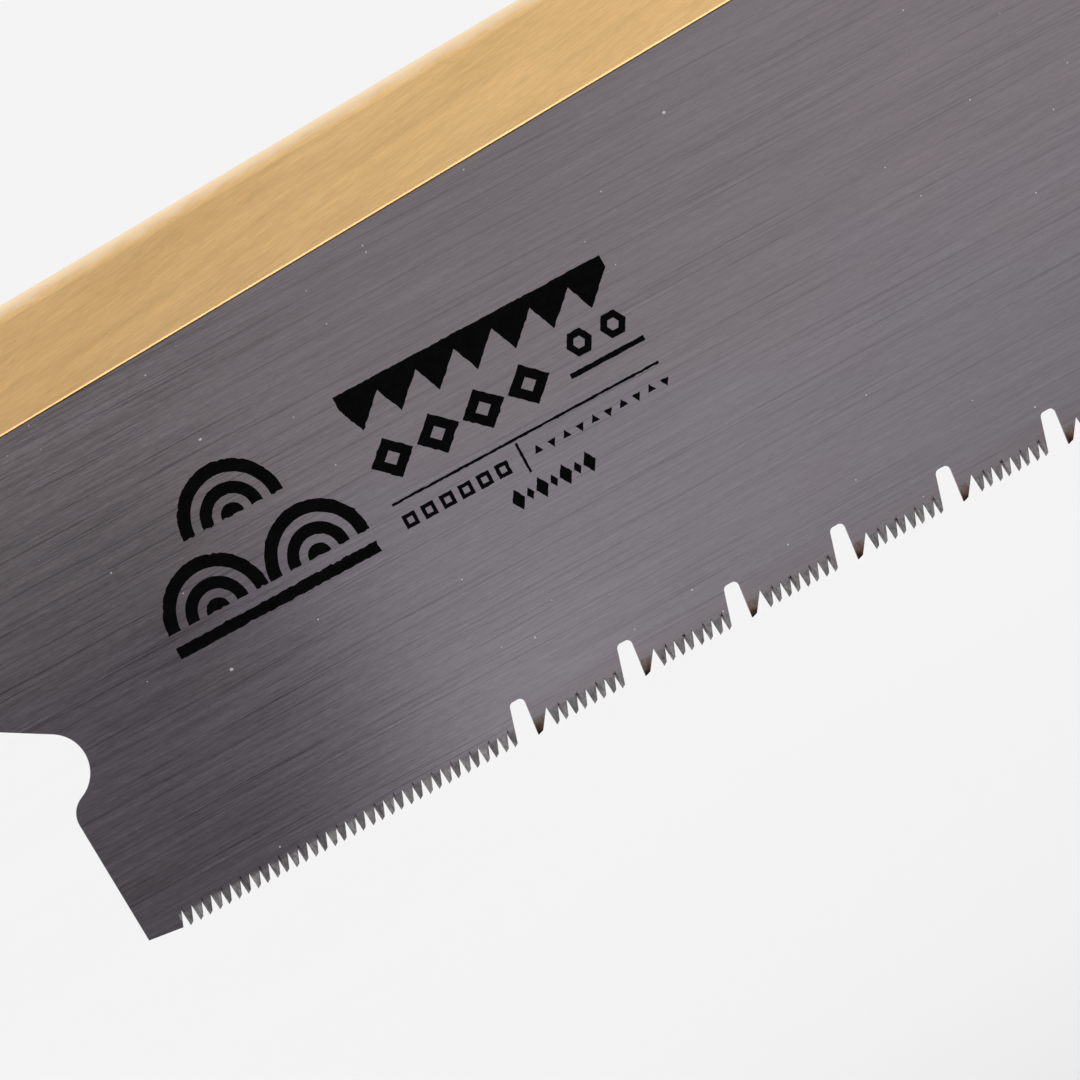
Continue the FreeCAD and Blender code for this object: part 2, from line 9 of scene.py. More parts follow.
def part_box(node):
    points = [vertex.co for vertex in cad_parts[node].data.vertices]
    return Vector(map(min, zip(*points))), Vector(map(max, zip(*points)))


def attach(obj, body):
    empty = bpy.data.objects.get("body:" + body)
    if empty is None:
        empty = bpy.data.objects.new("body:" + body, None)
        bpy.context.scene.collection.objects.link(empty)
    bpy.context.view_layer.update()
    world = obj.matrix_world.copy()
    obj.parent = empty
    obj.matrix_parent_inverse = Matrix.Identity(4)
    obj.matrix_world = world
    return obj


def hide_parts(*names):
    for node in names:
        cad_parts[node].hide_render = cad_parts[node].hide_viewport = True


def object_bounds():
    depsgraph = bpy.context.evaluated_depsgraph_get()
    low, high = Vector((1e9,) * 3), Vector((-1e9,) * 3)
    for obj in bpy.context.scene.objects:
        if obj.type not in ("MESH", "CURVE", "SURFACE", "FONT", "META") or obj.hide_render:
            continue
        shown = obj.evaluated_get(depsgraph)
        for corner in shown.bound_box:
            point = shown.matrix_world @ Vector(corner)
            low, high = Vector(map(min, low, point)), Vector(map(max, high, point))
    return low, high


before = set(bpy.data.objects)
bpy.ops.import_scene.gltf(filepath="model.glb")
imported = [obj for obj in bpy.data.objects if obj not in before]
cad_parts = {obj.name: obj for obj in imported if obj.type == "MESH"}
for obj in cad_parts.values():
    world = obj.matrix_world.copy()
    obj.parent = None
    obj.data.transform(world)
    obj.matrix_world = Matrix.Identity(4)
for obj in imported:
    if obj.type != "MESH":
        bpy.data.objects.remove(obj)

# Looks of the back saw. Lengths are in metres, in the CAD frame: X runs towards the blade's toe, Z is
# up, and the printed side of the blade faces -Y. The tooth row and the print are drawn in millimetres
# along the tooth line: t runs from the first tip towards the toe, d is the height above the line.

CAD_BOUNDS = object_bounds()
MM = 0.001

# Tooth row, in millimetres
TOOTH_HEIGHT = 1.5
HEEL_ROW_END = 35.4
FIRST_RAKER = 36.42
PANEL_PITCH = 11.37
RAKER_TO_FINE_TIP = 1.95

# The line falls towards the toe. Its first tip is at the heel, clear of the tang behind it.
TOOTH_LINE_LEAN = math.radians(2.8)
TANG_END_TO_FIRST_TIP = 53.7 * MM
TOOTH_LINE_FALL = 7.22 * MM
BLADE_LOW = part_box("blade")[0]
FIRST_TIP = Vector((BLADE_LOW.x + TANG_END_TO_FIRST_TIP, 0.0, BLADE_LOW.z + TOOTH_LINE_FALL))
ALONG_TEETH = Vector((math.cos(TOOTH_LINE_LEAN), 0.0, -math.sin(TOOTH_LINE_LEAN)))
UP_FROM_TEETH = Vector((math.sin(TOOTH_LINE_LEAN), 0.0, math.cos(TOOTH_LINE_LEAN)))

SPINE_LOW, SPINE_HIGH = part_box("spine")
SPINE_FALL = 0.55 * MM  # the fold is that much lower at the toe

# The handle's core is an oval that grows towards the butt, under the bindings at the wrap's two ends
FRONT_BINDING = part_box("wrap_binding_front")
REAR_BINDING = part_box("wrap_binding_rear")
BINDING_THICK = 1.3 * MM
WRAP_THICK = 1.15 * MM

STRIP_MAP = "strip"  # the cane's UV map, which its finish reads
BACKGROUND_LEVEL = 0.905  # what the camera sees behind the floor, as bright as the lit floor


# ---------------------------------------------------------------- node trees


class Nodes:
    """A node tree, and short calls for the nodes that the finishes and the world share."""

    def __init__(self, tree):
        self.tree = tree

    def feed(self, socket, value):
        """Links a socket to the input, or sets it to a constant."""
        if isinstance(value, bpy.types.NodeSocket):
            self.tree.links.new(value, socket)
        elif socket.type == "VECTOR":
            socket.default_value = value[:3]
        else:
            socket.default_value = value

    def node(self, kind, inputs=None, **settings):
        """A new node of that kind with its settings made and its inputs fed."""
        node = self.tree.nodes.new("ShaderNode" + kind)
        for key, value in settings.items():
            setattr(node, key, value)
        for key, value in (inputs or {}).items():
            self.feed(node.inputs[key], value)
        return node

    def math(self, operation, a, b=0.0, c=0.0):
        return self.node("Math", {0: a, 1: b, 2: c}, operation=operation).outputs[0]

    def product(self, first, *others):
        for other in others:
            first = self.math("MULTIPLY", first, other)
        return first

    def less(self, amount, share):
        """1 where amount is 0, and lower by that share where amount is 1."""
        return self.math("MULTIPLY_ADD", amount, -share, 1.0)

    def axes(self, vector):
        return self.node("SeparateXYZ", {0: vector}).outputs

    def scaled(self, vector, scale):
        return self.node("VectorMath", {0: vector, 1: scale}, operation="MULTIPLY").outputs[0]

    def noise(self, vector, scale, detail, roughness=0.5):
        """Noise from 0 to 1, with features one unit wide along each axis of the scaled vector."""
        place = self.scaled(vector, scale)
        inputs = {"Vector": place, "Scale": 1.0, "Detail": detail, "Roughness": roughness}
        return self.node("TexNoise", inputs).outputs["Fac"]

    def smooth(self, value, start, end, low=0.0, high=1.0):
        """Goes smoothly from low at start to high at end."""
        inputs = {"Value": value, "From Min": start, "From Max": end, "To Min": low, "To Max": high}
        return self.node("MapRange", inputs, interpolation_type="SMOOTHSTEP").outputs[0]

    def spread(self, value, low, high):
        """Turns a noise value, which is mostly from 0.25 to 0.75, into one between low and high."""
        inputs = {"Value": value, "From Min": 0.25, "From Max": 0.75, "To Min": low, "To Max": high}
        return self.node("MapRange", inputs).outputs[0]

    def pick(self, amount, a, b):
        """Value a where amount is 0, b where it is 1."""
        return self.node("Mix", {0: amount, 2: a, 3: b}).outputs[0]

    def mix(self, amount, a, b):
        """Colour a where amount is 0, b where it is 1."""
        return self.node("Mix", {0: amount, 6: a, 7: b}, data_type="RGBA").outputs[2]

    def tint(self, colour, amount):
        """Multiplies a colour by a value."""
        return self.node("VectorMath", {0: colour, "Scale": amount}, operation="SCALE").outputs[0]

    def near(self, value, centre, half_width, soft):
        """1 where value is within half_width of centre, falling to 0 over soft."""
        off = self.math("ABSOLUTE", self.math("SUBTRACT", value, centre))
        return self.smooth(off, half_width, half_width + soft, 1.0, 0.0)

    def bump(self, height, distance):
        return self.node("Bump", {"Height": height, "Distance": distance, "Strength": 1.0}).outputs[0]

    def specks(self, vector, scale, radius, share):
        """Small dots: 1 inside a dot, in that share of the unit cells of the scaled vector."""
        core = 0.6 * radius
        cells = self.node("TexVoronoi", {"Vector": self.scaled(vector, scale), "Scale": 1.0})
        inside = self.smooth(cells.outputs["Distance"], core, radius, 1.0, 0.0)
        chosen = self.math("LESS_THAN", self.axes(cells.outputs["Color"])[0], share)
        return self.product(inside, chosen)


class Finish(Nodes):
    """A procedural material. Its place is the point that is shaded, in metres."""

    def __init__(self, name):
        self.material = bpy.data.materials.new(name)
        self.material.use_nodes = True
        super().__init__(self.material.node_tree)
        self.shader = self.tree.nodes["Principled BSDF"]
        self.place = self.node("TexCoord").outputs["Object"]

    def millimetres(self):
        """The place as X, Y and Z in millimetres."""
        return self.axes(self.scaled(self.place, per_mm(1, 1, 1)))

    def shade(self, **values):
        """Sets inputs of the shader; an underscore stands for a space."""
        for key, value in values.items():
            self.feed(self.shader.inputs[key.replace("_", " ")], value)
        return self.material


def rgb(red, green, blue):
    return (red, green, blue, 1.0)


def per_mm(x, y, z):
    """Scale of a texture with that many features a millimetre along each axis."""
    return (x / MM, y / MM, z / MM)


# ---------------------------------------------------------------- materials


class ToothRow:
    """Where a point of the blade falls in the tooth row, as values in the steel's node tree."""

    def __init__(self, steel):
        inputs = {"Vector": steel.place, "Location": FIRST_TIP, "Rotation": (0.0, TOOTH_LINE_LEAN, 0.0)}
        self.place = steel.node("Mapping", inputs, vector_type="TEXTURE").outputs[0]
        self.t, _, self.d = steel.axes(steel.scaled(self.place, per_mm(1, 1, 1)))

        # Past the heel's row, each panel of fine teeth starts again behind its raker. The teeth are 1 mm
        # apart, so fine_t is whole at each tip, and a tooth starts a little before it.
        start_to_tip = 0.14
        self.from_raker = steel.math("SUBTRACT", self.t, FIRST_RAKER)
        self.in_panel = steel.math("FLOORED_MODULO", self.from_raker, PANEL_PITCH)
        self.at_heel = steel.math("LESS_THAN", self.t, HEEL_ROW_END)
        panel_t = steel.math("SUBTRACT", self.in_panel, RAKER_TO_FINE_TIP)
        self.fine_t = steel.pick(self.at_heel, panel_t, self.t)
        self.tooth = steel.math("FLOOR", steel.math("ADD", self.fine_t, start_to_tip))


def brushed_steel(steel, row, hair, line):
    """Cloudy tarnish, reddish near the spine and purple near the teeth, under brush lines."""
    near_teeth = rgb(0.463, 0.420, 0.468)
    near_spine = rgb(0.468, 0.412, 0.438)
    cloud = steel.noise(row.place, per_mm(0.045, 0.05, 0.07), 2.0)
    from_teeth = steel.math("ADD", row.d, steel.spread(cloud, -14, 14))
    grey = steel.mix(steel.smooth(from_teeth, 16, 34), near_teeth, near_spine)

    band = steel.noise(row.place, per_mm(0.02, 0.2, 0.30), 2.0)
    grit = steel.noise(row.place, per_mm(0.9, 4, 7), 2.0, 0.7)
    scratch = steel.noise(row.place, per_mm(0.045, 2, 6.5), 1.0)
    lines = steel.product(
        steel.spread(hair, 0.89, 1.09),
        steel.spread(line, 0.93, 1.06),
        steel.spread(band, 0.96, 1.04),
        steel.spread(grit, 0.90, 1.09),
        steel.smooth(scratch, 0.58, 0.70, 1.0, 0.78),
    )
    # The lines are stronger at the heel
    strength = steel.smooth(row.t, 10, 42, 1.8, 0.75)
    lines = steel.math("MULTIPLY_ADD", steel.math("SUBTRACT", lines, 1.0), strength, 1.0)

    # Painted shade: the heel's lower corner is darkened where the light falls off, and the steel by the
    # panels a little darker too
    x, _, z = steel.millimetres()
    past_tip = steel.math("SUBTRACT", x, FIRST_TIP.x / MM)
    above_tip = steel.math("SUBTRACT", z, FIRST_TIP.z / MM)
    heel_shade = steel.product(steel.smooth(past_tip, 36, 10), steel.smooth(above_tip, 47.9, 17.9))
    by_panels = steel.product(steel.smooth(row.t, 40, 60), steel.smooth(row.d, 22, 3))
    shade = steel.product(lines, steel.less(heel_shade, 0.30), steel.less(by_panels, 0.10))
    return steel.tint(grey, shade)


def with_seam_shade_and_grime(steel, colour):
    """Painted contact shade, and grime: a dark line where the plate goes into the spine."""
    shade_and_grime = rgb(0.06, 0.045, 0.03)
    seam = steel.near(steel.millimetres()[2], SPINE_LOW.z / MM, half_width=0.05, soft=0.14)
    return steel.mix(steel.product(seam, 0.75), colour, shade_and_grime)


def with_hardening_tint(steel, row, colour):
    """Tint left by hardening, along the edge of the panels."""
    straw = rgb(0.26, 0.20, 0.16)
    in_panels = steel.smooth(row.t, HEEL_ROW_END - 1, HEEL_ROW_END + 1)
    by_edge = steel.smooth(row.d, 4.2, 0.6, 0.0, 0.30)
    return steel.mix(steel.product(by_edge, in_panels), colour, straw)


def with_file_marks_and_sheen(steel, row, filed, colour):
    """Coarse file marks along each tooth, with painted reflection: the filed teeth are tinted, brighter on
    the teeth bevelled on this side.
    """
    file_grey = rgb(0.355, 0.34, 0.335)
    across = steel.noise(row.place, per_mm(6.0, 3, 1.8), 3.0, 0.75)
    # Painted sheen of the bevels, in the panels and at the heel
    plain = steel.pick(row.at_heel, 0.78, 0.62)
    bevelled = steel.pick(row.at_heel, 0.95, 1.12)
    side = steel.pick(steel.math("FLOORED_MODULO", row.tooth, 2.0), plain, bevelled)
    marks_and_sheen = steel.product(steel.spread(across, 0.1, 1.9), side)
    return steel.mix(steel.product(filed, 0.85), colour, steel.tint(file_grey, marks_and_sheen))


def with_burr_shadows(steel, row, colour):
    """Dark spot at the root of some teeth, fainter at the heel."""
    shadow = rgb(0.05, 0.05, 0.05)
    root_after_tip = 0.85
    chance = steel.node("TexWhiteNoise", {"W": row.tooth}, noise_dimensions="1D").outputs["Value"]
    spot = steel.product(
        steel.near(steel.math("FRACT", row.fine_t), root_after_tip, half_width=0.04, soft=0.07),
        steel.near(row.d, TOOTH_HEIGHT + 0.08, half_width=0.06, soft=0.12),
        steel.math("GREATER_THAN", row.fine_t, 0.3),
        steel.smooth(chance, 0.35, 0.9, 0.0, 0.9),
        steel.pick(row.at_heel, 1.0, 0.35),
    )
    return steel.mix(spot, colour, shadow)


def with_burnt_rakers(steel, row, colour):
    """Hardened tips of the rakers, brown above and black at the point."""
    brown = rgb(0.22, 0.14, 0.10)
    black = rgb(0.035, 0.02, 0.015)
    tip_middle = 0.45
    tip_half = 0.9
    blot = steel.noise(row.place, per_mm(2.2, 2.2, 1.6), 2.0)
    height = steel.math("ADD", row.d, steel.spread(blot, -0.25, 0.25))
    tip = steel.product(
        steel.near(row.in_panel, tip_middle, half_width=tip_half, soft=0.2),
        steel.math("GREATER_THAN", row.from_raker, -1.0),
        steel.smooth(height, 1.7, 0.6),
    )
    return steel.mix(tip, colour, steel.mix(steel.smooth(height, 1.1, 0.1), brown, black))


def blade_steel():
    """Ground plate: brush lines along the tooth row, filed teeth, hardened raker tips, dust."""
    steel = Finish("ground_blade_steel")
    row = ToothRow(steel)
    hair = steel.noise(row.place, per_mm(0.16, 3, 6.5), 3.0, 0.7)
    line = steel.noise(row.place, per_mm(0.07, 1, 2.2), 3.0, 0.6)
    filed = steel.product(
        steel.smooth(row.d, TOOTH_HEIGHT + 0.1, TOOTH_HEIGHT - 0.35),
        steel.math("GREATER_THAN", row.t, -0.6),
    )
    colour = brushed_steel(steel, row, hair, line)
    colour = with_seam_shade_and_grime(steel, colour)
    colour = with_hardening_tint(steel, row, colour)
    colour = with_file_marks_and_sheen(steel, row, filed, colour)
    colour = with_burr_shadows(steel, row, colour)
    colour = with_burnt_rakers(steel, row, colour)

    dust_white = rgb(0.75, 0.75, 0.78)
    fine_dust = steel.specks(row.place, per_mm(0.6, 0.6, 0.6), radius=0.062, share=0.35)
    coarse_dust = steel.specks(row.place, per_mm(0.15, 0.15, 0.21), radius=0.034, share=0.40)
    dust = steel.math("MAXIMUM", fine_dust, coarse_dust)

    relief = steel.math("ADD", steel.product(hair, 0.35), steel.product(line, 0.65))
    roughness = steel.math("ADD", steel.spread(line, 0.085, 0.125), steel.product(filed, 0.26))
    return steel.shade(
        Base_Color=steel.mix(steel.product(dust, 0.55), colour, dust_white),
        Metallic=steel.smooth(dust, 0.0, 1.0, 1.0, 0.5),
        Roughness=roughness,
        Anisotropic=0.6,
        Tangent=steel.node("CombineXYZ", {0: UP_FROM_TEETH.x, 1: 0.0, 2: UP_FROM_TEETH.z}).outputs[0],
        Normal=steel.bump(relief, 0.004 * MM),
    )


def spine_brass():
    """Folded brass strip: fine sanding lines a little off its length, and along the fold a painted pale
    highlight with a ragged edge like rubbed wear.
    """
    brass = Finish("satin_spine_brass")
    deep = rgb(0.855, 0.555, 0.240)
    light = rgb(0.93, 0.615, 0.285)
    stain_brown = rgb(0.38, 0.22, 0.08)
    highlight_pale = rgb(0.93, 0.74, 0.50)
    lines_lean = math.radians(5)

    sanded = brass.node("Mapping", {"Vector": brass.place, "Rotation": (0.0, lines_lean, 0.0)}).outputs[0]
    grit = brass.noise(sanded, per_mm(0.6, 5, 9), 2.0, 0.75)
    hair = brass.noise(sanded, per_mm(0.30, 4, 5), 3.0, 0.65)
    line = brass.noise(sanded, per_mm(0.10, 1.0, 1.4), 2.0)
    cloud = brass.noise(sanded, per_mm(0.09, 0.3, 0.3), 3.0)
    x, _, z = brass.millimetres()
    from_rear = brass.math("SUBTRACT", x, SPINE_LOW.x / MM)
    shade = brass.product(
        brass.spread(hair, 0.96, 1.03),
        brass.spread(line, 0.97, 1.03),
        brass.spread(grit, 0.88, 1.08),
        brass.smooth(from_rear, 66.9, 161.9, 0.93, 1.04),  # painted shade: darker by the handle, lighter towards the toe
    )
    colour = brass.tint(brass.mix(brass.spread(cloud, 0.0, 1.0), deep, light), shade)
    stains = brass.specks(sanded, per_mm(0.45, 0.45, 0.45), radius=0.035, share=0.30)
    colour = brass.mix(brass.product(stains, 0.4), colour, stain_brown)

    # How far below the fold's top, which falls towards the toe
    fall = brass.product(from_rear, SPINE_FALL / (SPINE_HIGH.x - SPINE_LOW.x))
    below_top = brass.math("SUBTRACT", brass.math("SUBTRACT", SPINE_HIGH.z / MM, z), fall)
    # Painted highlight: the top of the fold is painted pale, with a ragged lower edge like rubbed wear, and
    # made a little rougher
    ragged = brass.noise(brass.place, per_mm(0.35, 0, 1), 3.0)
    fold_highlight = brass.smooth(brass.math("ADD", below_top, brass.spread(ragged, -0.25, 0.25)), 1.3, 0.45)
    return brass.shade(
        Base_Color=brass.mix(brass.product(fold_highlight, 0.9), colour, highlight_pale),
        Metallic=1.0,
        Roughness=brass.math("ADD", brass.spread(line, 0.44, 0.52), brass.product(fold_highlight, 0.08)),
        Normal=brass.bump(brass.math("ADD", grit, hair), 0.0025 * MM),
    )


def turned_brass(name, bright, dull, roughness):
    """Small brass parts: tarnish clouds, and fine scratches round and along them."""
    brass = Finish(name)
    cloud = brass.noise(brass.place, per_mm(0.35, 0.35, 0.35), 4.0, 0.6)
    along = brass.noise(brass.place, per_mm(0.5, 7, 7), 2.0)
    across = brass.noise(brass.place, per_mm(6, 6, 0.6), 2.0)
    colour = brass.mix(brass.spread(cloud, 0.0, 1.0), bright, dull)
    shade = brass.product(brass.spread(along, 0.93, 1.05), brass.spread(across, 0.95, 1.04))
    return brass.shade(
        Base_Color=brass.tint(colour, shade),
        Metallic=1.0,
        Roughness=brass.spread(cloud, roughness, roughness + 0.14),
        Normal=brass.bump(brass.math("ADD", along, across), 0.006 * MM),
    )


def plated_steel(name, base, roughness, lines_per_mm):
    """Nickelled or zinc-plated steel: faint lines along X, stains, small dark pits."""
    pit_dark = rgb(0.12, 0.10, 0.09)
    steel = Finish(name)
    lines = steel.noise(steel.place, per_mm(0.25, lines_per_mm, lines_per_mm), 3.0, 0.6)
    stain = steel.noise(steel.place, per_mm(0.30, 0.30, 0.30), 4.0, 0.65)
    pits = steel.specks(steel.place, per_mm(0.9, 0.9, 0.9), radius=0.10, share=0.25)
    shade = steel.product(steel.spread(lines, 0.90, 1.06), steel.spread(stain, 0.86, 1.05))
    return steel.shade(
        Base_Color=steel.mix(steel.product(pits, 0.35), steel.tint(base, shade), pit_dark),
        Metallic=1.0,
        Roughness=steel.spread(stain, roughness + 0.10, roughness - 0.04),
        Normal=steel.bump(lines, 0.006 * MM),
    )


def handle_wood():
    """Pale straight-grained wood: growth rings about a distant pith, fibres and pores along X."""
    early_wood = rgb(0.62, 0.43, 0.25)
    late_wood = rgb(0.40, 0.235, 0.11)
    pore_dark = rgb(0.20, 0.11, 0.05)
    glue_dark = rgb(0.16, 0.09, 0.04)
    ring_width = 2.1
    wood = Finish("oiled_pale_wood")

    # The pith is outside the handle, some 28 mm off in Y and 11 mm in Z, and wanders along X
    _, y, z = wood.millimetres()
    bend = wood.noise(wood.place, per_mm(0.006, 0.05, 0.05), 2.0)
    off_y = wood.math("ADD", y, wood.spread(bend, 26.0, 30.0))
    off_z = wood.math("ADD", z, wood.spread(bend, 10.0, 13.0))
    from_pith = wood.math("SQRT", wood.math("ADD", wood.product(off_y, off_y), wood.product(off_z, off_z)))
    ring = wood.math("FRACT", wood.math("DIVIDE", from_pith, ring_width))
    late = wood.product(wood.smooth(ring, 0.35, 0.93), wood.smooth(ring, 1.0, 0.94))

    fibre = wood.noise(wood.place, per_mm(0.12, 5, 5), 3.0, 0.6)
    pores = wood.smooth(wood.noise(wood.place, per_mm(0.35, 8, 8), 1.0), 0.62, 0.74)
    colour = wood.tint(wood.mix(late, early_wood, late_wood), wood.spread(fibre, 0.88, 1.10))
    colour = wood.mix(wood.product(pores, 0.55), colour, pore_dark)
    glue_line = wood.near(y, 0.0, half_width=0.03, soft=0.05)
    return wood.shade(
        Base_Color=wood.mix(wood.product(glue_line, 0.7), colour, glue_dark),
        Roughness=wood.spread(fibre, 0.46, 0.60),
        Coat_Weight=0.12,
        Coat_Roughness=0.35,
        Normal=wood.bump(wood.math("SUBTRACT", wood.product(fibre, 0.5), pores), 0.03 * MM),
    )


def rattan_cane():
    """Split cane: glossy skin with fibres along the strip, paler and darker lengths, pithy edges."""
    honey = rgb(0.60, 0.38, 0.165)
    straw = rgb(0.74, 0.53, 0.275)
    streak_brown = rgb(0.50, 0.285, 0.105)
    spot_brown = rgb(0.25, 0.12, 0.04)
    pith_brown = rgb(0.33, 0.18, 0.07)
    cane = Finish("split_rattan_skin")

    # The map made with the strip has metres along it in X and across it in Y
    strip = cane.node("UVMap", uv_map=STRIP_MAP).outputs[0]
    fibre = cane.noise(strip, per_mm(0.15, 5.0, 0.0), 3.0, 0.6)
    streak = cane.noise(strip, per_mm(0.03, 1.1, 0.0), 2.0)
    length = cane.noise(strip, per_mm(0.012, 0.02, 0.0), 3.0)
    spots = cane.specks(strip, per_mm(0.25, 0.7, 0.0), radius=0.12, share=0.16)
    across = cane.axes(cane.scaled(strip, per_mm(1, 1, 1)))[1]
    edge = cane.smooth(cane.math("ABSOLUTE", across), 2.45, 2.95)

    colour = cane.mix(cane.spread(length, 0.0, 1.0), honey, straw)
    colour = cane.mix(cane.spread(streak, 0.0, 0.55), colour, streak_brown)
    colour = cane.tint(colour, cane.spread(fibre, 0.84, 1.10))
    colour = cane.mix(cane.product(spots, 0.5), colour, spot_brown)
    return cane.shade(
        Base_Color=cane.mix(cane.product(edge, 0.65), colour, pith_brown),
        Roughness=cane.spread(streak, 0.30, 0.42),
        Coat_Weight=0.35,
        Coat_Roughness=0.18,
        Normal=cane.bump(fibre, 0.02 * MM),
    )


def waxed_thread():
    """Dark waxed linen: fuzz on each ply, some lengths paler."""
    dark = rgb(0.075, 0.035, 0.022)
    paler = rgb(0.12, 0.06, 0.038)
    thread = Finish("waxed_linen_thread")
    fuzz = thread.noise(thread.place, per_mm(9, 9, 9), 3.0, 0.6)
    patch = thread.noise(thread.place, per_mm(0.6, 0.3, 0.3), 2.0)
    colour = thread.mix(thread.spread(patch, 0.0, 1.0), dark, paler)
    return thread.shade(
        Base_Color=thread.tint(colour, thread.spread(fuzz, 0.6, 1.4)),
        Roughness=thread.spread(fuzz, 0.48, 0.66),
        Normal=thread.bump(fuzz, 0.03 * MM),
    )


def print_ink():
    """Matt screen-printed black ink that follows the brush lines under it."""
    thick_black = rgb(0.0008, 0.0007, 0.0008)
    thin_black = rgb(0.002, 0.0018, 0.002)
    ink = Finish("screen_printed_ink")
    grain = ink.noise(ink.place, per_mm(0.3, 4, 5), 3.0, 0.6)
    thin = ink.noise(ink.place, per_mm(1.3, 1.3, 1.3), 3.0)
    colour = ink.mix(ink.spread(thin, 0.0, 1.0), thick_black, thin_black)
    return ink.shade(
        Base_Color=ink.tint(colour, ink.spread(grain, 0.7, 1.3)),
        Roughness=ink.spread(grain, 0.55, 0.7),
        Specular_IOR_Level=0.02,
        Normal=ink.bump(grain, 0.004 * MM),
    )


def paint_nodes(finishes):
    """Gives each CAD node the finish of the slot that the record names for it."""
    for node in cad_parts.values():
        for slot in node.material_slots:
            slot.material = finishes[slot.material.name]


# ---------------------------------------------------------------- meshes and pieces


def weld(mesh, distance):
    """Merges the points that are closer than that and turns every face outwards."""
    edit = bmesh.new()
    edit.from_mesh(mesh)
    bmesh.ops.remove_doubles(edit, verts=edit.verts, dist=distance)
    bmesh.ops.recalc_face_normals(edit, faces=edit.faces)
    edit.to_mesh(mesh)
    edit.free()


def joined(meshes, name):
    """One mesh made of several, which are removed."""
    edit = bmesh.new()
    for mesh in meshes:
        edit.from_mesh(mesh)
        bpy.data.meshes.remove(mesh)
    whole = bpy.data.meshes.new(name)
    bmesh.ops.recalc_face_normals(edit, faces=edit.faces)
    edit.to_mesh(whole)
    edit.free()
    return whole


def tube_mesh(name, sections, closed):
    """Mesh through a row of rings of points, closed into a loop or capped at its ends."""
    mesh = bpy.data.meshes.new(name)
    size = len(sections[0])
    points = [point for section in sections for point in section]
    faces = []
    for i in range(len(sections) if closed else len(sections) - 1):
        here = i * size
        there = (i + 1) % len(sections) * size
        for j in range(size):
            k = (j + 1) % size
            faces.append((here + j, here + k, there + k, there + j))
    if not closed:
        faces.append(tuple(range(size))[::-1])
        faces.append(tuple(len(points) - size + j for j in range(size)))
    mesh.from_pydata(points, [], faces)
    return mesh


def new_piece(name, mesh, body, slot):
    """A separate piece that rides on a body of the record and has one of its material slots."""
    piece = bpy.data.objects.new(name, mesh)
    bpy.context.scene.collection.objects.link(piece)
    mesh.materials.clear()
    mesh.materials.append(FINISHES[slot])
    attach(piece, body)
    return piece


# ---------------------------------------------------------------- print on the blade


# How an outline's edge is roughened: the step between its points and how far they stray, in millimetres
BOLD_EDGE = {"step": 0.35, "amount": 0.045}
PLAIN_EDGE = {"step": 0.35, "amount": 0.03}
FINE_EDGE = {"step": 0.3, "amount": 0.02}


def roughened(points, random_source, step, amount):
    """The closed outline with more points, each a little off, as ink leaves a worn screen's edge."""
    corner_share = 0.3
    outline = []
    for start, end in zip(points, points[1:] + points[:1]):
        run = Vector(end) - Vector(start)
        count = max(1, round(run.length / step))
        for i in range(count):
            point = Vector(start) + run * (i / count)
            off = Vector((random_source.gauss(0, amount), random_source.gauss(0, amount)))
            outline.append(point + (off if i else off * corner_share))
    return outline


def half_ring(centre, outer, inner):
    """The upper half of a ring, or of a disc where inner is 0."""
    steps = 24
    turns = [math.pi * i / steps for i in range(steps + 1)]
    outline = [(centre[0] + outer * math.cos(a), centre[1] + outer * math.sin(a)) for a in turns]
    if inner:
        outline += [(centre[0] + inner * math.cos(a), centre[1] + inner * math.sin(a)) for a in turns[::-1]]
    return outline


def regular(centre, radius, sides, turn=0.0, stretch=1.0):
    """A regular polygon whose first corner is turned that many degrees up from t, stretched along t."""
    corners = []
    for i in range(sides):
        angle = math.radians(turn) + 2 * math.pi * i / sides
        corners.append((centre[0] + radius * stretch * math.cos(angle), centre[1] + radius * math.sin(angle)))
    return corners


def rectangle(left, right, low, high):
    """Its four corners."""
    return [(left, low), (right, low), (right, high), (left, high)]


def bar(left, right, middle, thick):
    """A rectangle along t, about its middle height."""
    return rectangle(left, right, middle - thick / 2, middle + thick / 2)


def saw_tooth_band(left, right, low, high, teeth):
    """A bar with raked teeth hanging from it."""
    neck_share = 0.68
    rake = 0.28
    pitch = (right - left) / teeth
    neck = low + neck_share * (high - low)
    points = [(right, high), (left, high)]
    for i in range(teeth):
        points.append((left + i * pitch, neck))
        points.append((left + (i + rake) * pitch, low))
    points.append((right, neck))
    return points


def row_of(count, first, apart, height):
    """Centres of a row of marks along t."""
    return [(first + apart * i, height) for i in range(count)]


def hollow(centre, radius, hole, sides, edge, style, **form):
    """A regular polygon with a hole of the same form."""
    return [
        roughened(regular(centre, radius, sides, **form), edge, **style),
        regular(centre, hole, sides, **form)[::-1],
    ]


def wave_scales(edge):
    """Three fans of rings over a ground line, the plain pattern of overlapping waves."""
    lower_fans = row_of(2, first=15.9, apart=10.6, height=24.0)
    upper_fan = (21.2, 31.0)
    radii = ((5.2, 3.95), (3.1, 1.95), (1.15, 0.0))
    ground = bar(10.7, 31.7, middle=22.2, thick=1.1)
    shapes = []
    for centre in lower_fans + [upper_fan]:
        for outer, inner in radii:
            shapes.append(roughened(half_ring(centre, outer, inner), edge, **BOLD_EDGE))
    return shapes + [roughened(ground, edge, **BOLD_EDGE)]


def wide_band(edge):
    """The saw teeth, and under them the row of hollow diamonds."""
    band = saw_tooth_band(34.3, 62.5, low=32.1, high=36.1, teeth=7)
    shapes = [roughened(band, edge, **PLAIN_EDGE)]
    for centre in row_of(4, first=36.6, apart=4.8, height=28.7):
        shapes += hollow(centre, 2.05, 0.75, 4, edge, PLAIN_EDGE, stretch=1.08)
    return shapes


